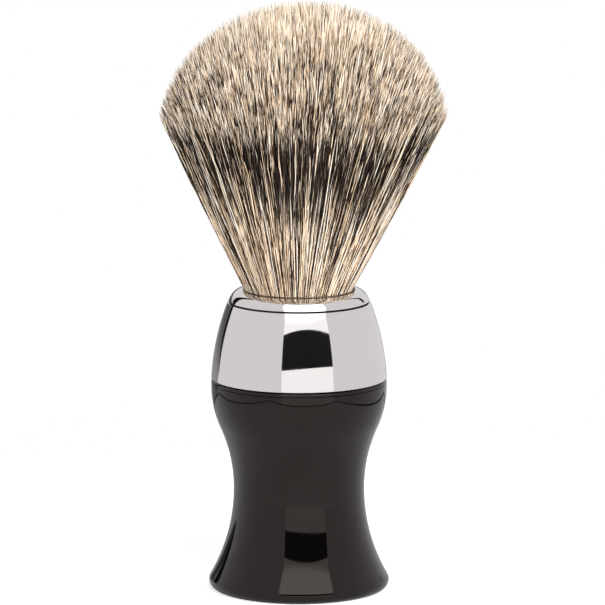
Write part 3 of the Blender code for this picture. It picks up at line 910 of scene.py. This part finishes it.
# Chrome: bright plate with faint wipe marks; the scales of patterns are per metre
WIPE_SCALE, WIPE_DETAIL, WIPE_RANGE = 90.0, 5.0, (0.35, 0.75)
CHROME_ROUGH = (0.02, 0.06)
CHROME_BRIGHT, CHROME_WIPED = (0.81, 0.805, 0.805), (0.79, 0.785, 0.785)


def chrome_material():
    made, tree, shader = new_material("chrome_plate")
    wiped = noise(tree, place_on(tree), WIPE_SCALE, WIPE_DETAIL)
    put(tree, shader.inputs["Metallic"], 1.0)
    put(tree, shader.inputs["Roughness"], ramp(tree, wiped, *WIPE_RANGE, *CHROME_ROUGH))
    put(tree, shader.inputs["Base Color"], mix_colour(tree, wiped, CHROME_BRIGHT, CHROME_WIPED))
    return made


# Gloss black: moulded, polished plastic with a slight orange peel
PEEL_SCALE, PEEL_DETAIL, PEEL_RANGE = 260.0, 3.0, (0.3, 0.7)
PEEL_STRENGTH, PEEL_HIGH = 0.02, 0.0002
GLOSS_ROUGH, GLOSS_IOR, GLOSS_TINT = (0.03, 0.075), 1.44, (1.0, 0.925, 0.89)
GLOSS_LIGHT, GLOSS_DARK = (0.0018, 0.0014, 0.0012), (0.0010, 0.0008, 0.0008)


def black_material():
    made, tree, shader = new_material("black_gloss")
    peel = noise(tree, place_on(tree), PEEL_SCALE, PEEL_DETAIL)
    put(tree, shader.inputs["Roughness"], ramp(tree, peel, *PEEL_RANGE, *GLOSS_ROUGH))
    put(tree, shader.inputs["Base Color"], mix_colour(tree, peel, GLOSS_LIGHT, GLOSS_DARK))
    put(tree, shader.inputs["IOR"], GLOSS_IOR)
    put(tree, shader.inputs["Specular Tint"], GLOSS_TINT)
    relief(tree, shader, peel, PEEL_STRENGTH, PEEL_HIGH)
    return made


# Finishes of the smaller pieces: one pattern sets tone, gloss and relief
PATTERN_RANGE, FINISH_RANGE = (0.32, 0.68), (0.2, 0.8)
ROUGHER, SMOOTHER = 1.25, 0.8
RELIEF_HIGH = 0.0001
GRAIN_DETAIL, GRAIN_SHARE, CLOUD_SIZE = 6.0, 0.6, 9
RING_SCALE, RING_DETAIL, RING_SHARE = 6000.0, 2.0, 0.6
STAIN_SCALE, STAIN_DETAIL = 350.0, 4.0
FUZZ_SCALE, FUZZ_SHARE, PLY_SHARE, WOUND_RANGE = 2600.0, 0.35, 1.5, (0.15, 0.85)


def finish(tree, shader, pattern, dark, light, rough, bumps):
    put(tree, shader.inputs["Base Color"], mix_colour(tree, pattern, dark, light))
    gloss = ramp(tree, pattern, *FINISH_RANGE, rough * ROUGHER, rough * SMOOTHER)
    put(tree, shader.inputs["Roughness"], gloss)
    relief(tree, shader, pattern, bumps, RELIEF_HIGH)


def moulded(name, dark, light, rough, scale, bumps):
    """Plastic, rubber and resin from a mould, and the painted shade of the collar's groove: a fine grain over
    broad clouds.
    """
    made, tree, shader = new_material(name)
    place = place_on(tree)
    grain = noise(tree, place, scale, GRAIN_DETAIL)
    cloud = noise(tree, place, scale / CLOUD_SIZE)
    pattern = ramp(tree, blend(tree, grain, cloud, GRAIN_SHARE), *PATTERN_RANGE)
    finish(tree, shader, pattern, dark, light, rough, bumps)
    return made


def turned(name, dark, light, rough, bumps, metallic=1.0):
    """Lathe work: fine rings round the axis, and stains that cross them."""
    made, tree, shader = new_material(name)
    place = place_on(tree)
    x, y, z = split_axes(tree, place)
    squares = maths(tree, "MULTIPLY_ADD", x, x, maths(tree, "MULTIPLY", y, y))
    across = maths(tree, "ADD", maths(tree, "SQRT", squares), z)
    rings = line_noise(tree, across, RING_SCALE, RING_DETAIL)
    stain = noise(tree, place, STAIN_SCALE, STAIN_DETAIL)
    pattern = ramp(tree, blend(tree, rings, stain, RING_SHARE), *PATTERN_RANGE)
    put(tree, shader.inputs["Metallic"], metallic)
    finish(tree, shader, pattern, dark, light, rough, bumps)
    return made


def wound(name, dark, light, rough, pitch, bumps):
    """Thread laid in turns round the axis, with a pitch in metres."""
    made, tree, shader = new_material(name)
    place = place_on(tree)
    x, y, z = split_axes(tree, place)
    turn = maths(tree, "DIVIDE", maths(tree, "ARCTAN2", y, x), 2 * math.pi)
    lay = maths(tree, "SUBTRACT", maths(tree, "DIVIDE", z, pitch), turn)
    ply = maths(tree, "MULTIPLY", maths(tree, "PINGPONG", lay, 0.5), PLY_SHARE)
    fuzzy = maths(tree, "MULTIPLY_ADD", noise(tree, place, FUZZ_SCALE), FUZZ_SHARE, ply)
    finish(tree, shader, ramp(tree, fuzzy, *WOUND_RANGE), dark, light, rough, bumps)
    return made


def grey(tone):
    return (tone, tone, tone)


# Dressing: each piece gets its material and body, and hides the CAD node that it stands in for, if any
# Painted shade in the collar's groove: its heights below the groove and its inset, in millimetres
GROOVE_SHADE_LOW, GROOVE_SHADE_HIGH, GROOVE_SHADE_IN = 0.27, 0.005, 1.6


def paint(piece, material):
    piece.data.materials.clear()
    piece.data.materials.append(material)


def dress(piece, material, body, replaced=None):
    paint(piece, material)
    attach(piece, body)
    if replaced:
        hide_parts(replaced)


def darken_groove(groove_shade):
    """Gives the faces of the collar's groove a second, dark material: painted shade in the groove."""
    collar.data.materials.append(groove_shade)
    low, high = GROOVE_Z - GROOVE_SHADE_LOW, GROOVE_Z - GROOVE_SHADE_HIGH
    for face in collar.data.polygons:
        middle = face.center / MM
        if low < middle.z < high and middle.xy.length > LIP_R + GROOVE_SHADE_IN:
            face.material_index = 1


badger = hair_material()
for piece in hairs:
    dress(piece, badger, "head", "bristle_knot")
dress(collar, chrome_material(), "head", "chrome_collar")
# Dark faces of the collar's groove: painted shade in the groove
darken_groove(moulded("groove_painted_shade", grey(0.004), (0.012, 0.011, 0.010), rough=0.8, scale=1500.0, bumps=0.2))
dress(handle, black_material(), "handle", "handle_shell")
# Dark resin for the bead, which is also painted contact shadow where the hair meets the lip
bead_resin_and_shadow = moulded(
    "dark_resin_and_painted_shadow", (0.045, 0.031, 0.024), (0.10, 0.072, 0.055), rough=0.35, scale=1200.0, bumps=0.1,
)
dress(bead, bead_resin_and_shadow, "head")
steel = turned("turned_steel", (0.42, 0.42, 0.43), (0.62, 0.62, 0.63), rough=0.28, bumps=0.15)
dress(stud, steel, "head", "flanged_stud")
brass = turned("turned_brass", (0.56, 0.38, 0.13), (0.80, 0.60, 0.25), rough=0.25, bumps=0.15)
dress(insert, brass, "handle", "threaded_insert")

# Solids that keep the CAD's shape
cast = moulded("cast_resin", (0.40, 0.26, 0.10), (0.62, 0.45, 0.21), rough=0.3, scale=500.0, bumps=0.1)
thread = wound("waxed_thread", (0.34, 0.29, 0.22), (0.72, 0.66, 0.55), rough=0.7, pitch=0.0003, bumps=0.8)
core = moulded("black_moulding", grey(0.012), (0.032, 0.032, 0.031), rough=0.5, scale=2600.0, bumps=0.35)
rubber = moulded("seal_rubber", grey(0.008), grey(0.024), rough=0.7, scale=2200.0, bumps=0.25)
weight = turned("cut_steel", (0.36, 0.36, 0.37), (0.58, 0.58, 0.59), rough=0.34, bumps=0.25)
plug = turned("turned_plug", grey(0.010), (0.026, 0.026, 0.025), rough=0.42, bumps=0.25, metallic=0.0)
for name, material in (
    ("knot_resin_plug", cast), ("knot_binding_thread", thread), ("collar_core", core),
    ("collar_seal_ring", rubber), ("balance_weight", weight), ("base_plug", plug),
):
    paint(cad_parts[name], material)

# Floor, in metres: a pale plate that keeps the shadow, and is darker in reflections
PLATE_TURN = math.radians(8.0)
PLATE_LEFT, PLATE_RIGHT, PLATE_NEAR, PLATE_FAR = 0.138, 0.116, 0.131, 0.131
PLATE_DROP = 0.00004
FLOOR_WHITE, FLOOR_GLOW = grey(0.80), 0.60
FLOOR_MIRRORED, FLOOR_MIRRORED_GLOW = (0.57, 0.55, 0.545), 0.10


def plate_corners(grow):
    """Corners of the plate, moved outwards by grow."""
    left, right = -PLATE_LEFT - grow, PLATE_RIGHT + grow
    near, far = -PLATE_NEAR - grow, PLATE_FAR + grow
    c, s = math.cos(PLATE_TURN), math.sin(PLATE_TURN)
    pairs = ((left, near), (right, near), (right, far), (left, far))
    return [(x * c - y * s, x * s + y * c, -PLATE_DROP) for x, y in pairs]


def diffuse(tree, colour):
    made = node(tree, "ShaderNodeBsdfDiffuse")
    put(tree, made.inputs["Color"], colour)
    return made.outputs[0]


def glowing(tree, surface, strength):
    """A surface with some light of its own."""
    glow = node(tree, "ShaderNodeEmission")
    put(tree, glow.inputs["Strength"], strength)
    return mix_shaders(tree, "ShaderNodeAddShader", surface, glow.outputs[0])


def floor_material():
    made = bpy.data.materials.new("floor_white")
    made.use_nodes = True
    tree = made.node_tree
    tree.nodes.clear()
    lit = diffuse(tree, FLOOR_WHITE)
    mirrored = glowing(tree, diffuse(tree, FLOOR_MIRRORED), FLOOR_MIRRORED_GLOW)
    seen = by_ray(tree, "Is Glossy Ray", lit, mirrored)
    seen = by_ray(tree, "Is Camera Ray", seen, glowing(tree, lit, FLOOR_GLOW))
    put(tree, node(tree, "ShaderNodeOutputMaterial").inputs[0], seen)
    return made


def make_floor():
    mesh = bpy.data.meshes.new("floor")
    mesh.from_pydata(plate_corners(0.0), [], [(0, 1, 2, 3)])
    mesh.materials.append(floor_material())
    floor = add_object("floor", mesh)


make_floor()

# World: a pale tent with a bright front, white to the camera
# Azimuths from the middle of the front and heights from level, in degrees
TENT_LIGHT, TENT_TINT, TENT_SOFT = 0.765, (1.0, 0.965, 0.957), 0.40
FRONT_LEFT, FRONT_RIGHT, FRONT_EDGE = -23.0, 46.0, 0.5
FRONT_FLARE_FROM, FRONT_FLARE_TO, FRONT_FLARE = 28.0, 62.0, 17.0
FRONT_HEIGHTS, FRONT_LIGHT = (8.0, 24.0), (1.10, 1.16)
FRONT_TOP_HEIGHTS, FRONT_TOP_LIGHT = (26.5, 34.0), (0.0, 1.2)
BACK_LEFT, BACK_EDGE, BACK_FOOT_HEIGHTS, BACK_FOOT = -131.2, 0.5, (-10.0, -3.0), (4.0, 0.0)
BACK_HIGH, BACK_HIGH_EDGE = 6.0, 2.0
BACK_HEIGHTS, BACK_LIGHT = (-10.0, 0.0), (0.32, 0.10)
CORNER_AT, CORNER_EDGE, CORNER_LIGHT = 166.0, 4.0, 0.36
FOLD_EDGE, FOLD_LEAST, FOLD_DARK = 0.4, 0.2, 0.008
FOLD_LOW_HEIGHTS, FOLD_LOW_WIDE = (-7.0, 1.0), (0.0, 7.5)
FOLD_HIGH_HEIGHTS, FOLD_HIGH_WIDE = (5.0, 9.0), (0.0, 6.0)
FOLD_RIGHT_FROM, FOLD_RIGHT_TO, FOLD_RIGHT_FOOT, FOLD_RIGHT_FADE = 134.5, 141.0, 10.5, 1.5


def past(tree, value, at, edge):
    """0 below a value and 1 above it, with a soft edge."""
    return ramp(tree, value, at - edge, at + edge)


def short_of(tree, value, at, edge):
    """1 below a value and 0 above it, with a soft edge."""
    return ramp(tree, value, at - edge, at + edge, 1.0, 0.0)


def laid_over(tree, share, base, value):
    """base with value laid over it by share."""
    rest = maths(tree, "MULTIPLY", base, maths(tree, "SUBTRACT", 1.0, share))
    return maths(tree, "ADD", rest, maths(tree, "MULTIPLY", share, value))


def left_fold(tree, azimuth, height):
    """A fold that widens upwards."""
    wide = ramp(tree, height, *FOLD_LOW_HEIGHTS, *FOLD_LOW_WIDE, smooth=False)
    wide = maths(tree, "ADD", wide, ramp(tree, height, *FOLD_HIGH_HEIGHTS, *FOLD_HIGH_WIDE))
    start = past(tree, maths(tree, "ADD", azimuth, wide), BACK_LEFT + FOLD_LEAST, FOLD_EDGE)
    return maths(tree, "MULTIPLY", start, short_of(tree, azimuth, BACK_LEFT, FOLD_EDGE))


def right_fold(tree, azimuth, height):
    start = past(tree, azimuth, FOLD_RIGHT_FROM, FOLD_EDGE)
    fold = maths(tree, "MULTIPLY", start, short_of(tree, azimuth, FOLD_RIGHT_TO, FOLD_EDGE))
    return maths(tree, "MULTIPLY", fold, past(tree, height, FOLD_RIGHT_FOOT, FOLD_RIGHT_FADE))


def tent_back(tree, azimuth, height):
    """The tent without its front: a darker stretch behind on the left, a corner behind and two dark folds."""
    low = short_of(tree, height, BACK_HIGH, BACK_HIGH_EDGE)
    foot = ramp(tree, height, *BACK_FOOT_HEIGHTS, *BACK_FOOT)
    behind = short_of(tree, maths(tree, "ADD", azimuth, foot), BACK_LEFT, BACK_EDGE)
    behind = maths(tree, "MULTIPLY", behind, low)
    tent = laid_over(tree, behind, TENT_LIGHT, ramp(tree, height, *BACK_HEIGHTS, *BACK_LIGHT))
    corner = maths(tree, "MULTIPLY", past(tree, azimuth, CORNER_AT, CORNER_EDGE), low)
    tent = laid_over(tree, corner, tent, CORNER_LIGHT)
    folds = maths(tree, "ADD", left_fold(tree, azimuth, height), right_fold(tree, azimuth, height))
    return laid_over(tree, folds, tent, FOLD_DARK)


def tent_shade(tree):
    """Brightness of the tent by direction."""
    x, y, z = split_axes(tree, node(tree, "ShaderNodeTexCoord").outputs["Generated"])
    azimuth = maths(tree, "DEGREES", maths(tree, "ARCTAN2", x, maths(tree, "MULTIPLY", y, -1.0)))
    height = maths(tree, "DEGREES", maths(tree, "ARCSINE", z))
    flare = ramp(tree, height, FRONT_FLARE_FROM, FRONT_FLARE_TO, 0.0, FRONT_FLARE, smooth=False)
    left = past(tree, maths(tree, "ADD", azimuth, flare), FRONT_LEFT, FRONT_EDGE)
    right = short_of(tree, maths(tree, "SUBTRACT", azimuth, flare), FRONT_RIGHT, FRONT_EDGE)
    light = ramp(tree, height, *FRONT_HEIGHTS, *FRONT_LIGHT)
    light = maths(tree, "ADD", light, ramp(tree, height, *FRONT_TOP_HEIGHTS, *FRONT_TOP_LIGHT))
    back = tent_back(tree, azimuth, height)
    return laid_over(tree, maths(tree, "MULTIPLY", left, right), back, light)


def background(tree, colour, strength=1.0):
    made = node(tree, "ShaderNodeBackground")
    put(tree, made.inputs["Color"], colour)
    put(tree, made.inputs["Strength"], strength)
    return made.outputs[0]


def make_world():
    world = bpy.data.worlds.new("studio")
    bpy.context.scene.world = world
    world.use_nodes = True
    tree = world.node_tree
    tree.nodes.clear()
    shade = tent_shade(tree)
    tinted = node(tree, "ShaderNodeCombineColor")
    for socket, share in zip(tinted.inputs, TENT_TINT):
        put(tree, socket, maths(tree, "MULTIPLY", shade, share))
    soft = background(tree, grey(1.0), TENT_SOFT)
    seen = by_ray(tree, "Is Glossy Ray", soft, background(tree, tinted.outputs[0]))
    seen = by_ray(tree, "Is Camera Ray", seen, background(tree, grey(1.0)))
    put(tree, node(tree, "ShaderNodeOutputWorld").inputs[0], seen)


make_world()

# Opening in the front of the tent and the dark rim round the plate, in metres, which only reflections show
OPEN_AZIMUTH, OPEN_FAR = math.radians(8.0), 0.80
OPEN_LEFT, OPEN_RIGHT = math.tan(math.radians(-31.0)), math.tan(math.radians(38.0))
OPEN_LOW_LEFT, OPEN_LOW_RIGHT, OPEN_HIGH = 0.127, 0.145, 0.415
FRAME_DROP, FRAME_FROM, FRAME_TO = 0.008, 0.028, 0.040
UNLIT, UNLIT_ROUGH = grey(0.004), 0.9


def reflected_only(name, points, faces):
    look, tree, shader = new_material(name + "_dark")
    put(tree, shader.inputs["Base Color"], UNLIT)
    put(tree, shader.inputs["Roughness"], UNLIT_ROUGH)
    mesh = bpy.data.meshes.new(name)
    mesh.from_pydata(points, [], faces)
    mesh.materials.append(look)
    made = add_object(name, mesh)
    made.visible_camera = False
    made.visible_diffuse = False
    made.visible_shadow = False


def opening_corners():
    ahead = Vector((math.sin(OPEN_AZIMUTH), -math.cos(OPEN_AZIMUTH), 0.0)) * OPEN_FAR
    right = Vector((math.cos(OPEN_AZIMUTH), math.sin(OPEN_AZIMUTH), 0.0)) * OPEN_FAR
    corners = (
        (OPEN_LEFT, OPEN_LOW_LEFT), (OPEN_RIGHT, OPEN_LOW_RIGHT),
        (OPEN_RIGHT, OPEN_HIGH), (OPEN_LEFT, OPEN_HIGH),
    )
    return [ahead + right * across + Vector((0.0, 0.0, z)) for across, z in corners]


rim_points = [(x, y, z - FRAME_DROP) for x, y, z in plate_corners(FRAME_FROM) + plate_corners(FRAME_TO)]
rim_faces = [(k, (k + 1) % 4, (k + 1) % 4 + 4, k + 4) for k in range(4)]
reflected_only("tent_opening", opening_corners(), [(0, 1, 2, 3)])
reflected_only("plate_rim", rim_points, rim_faces)


# Lamps: soft, from the front, and not seen in reflections
def lamp(name, place, aim, wide, high, watts):
    data = bpy.data.lights.new(name, "AREA")
    data.shape = "RECTANGLE"
    data.size = wide
    data.size_y = high
    data.energy = watts
    made = add_object(name, data)
    look_from(made, place, aim)
    made.visible_glossy = False
    made.visible_camera = False


lamp("key_lamp", place=(0.38, -0.78, 0.74), aim=(0.0, 0.0, 0.07), wide=0.5, high=0.5, watts=14.2)
lamp("fill_lamp", place=(-0.45, -0.95, 0.26), aim=(0.0, 0.0, 0.06), wide=0.6, high=0.5, watts=7.5)
bpy.context.scene.view_settings.view_transform = "Standard"
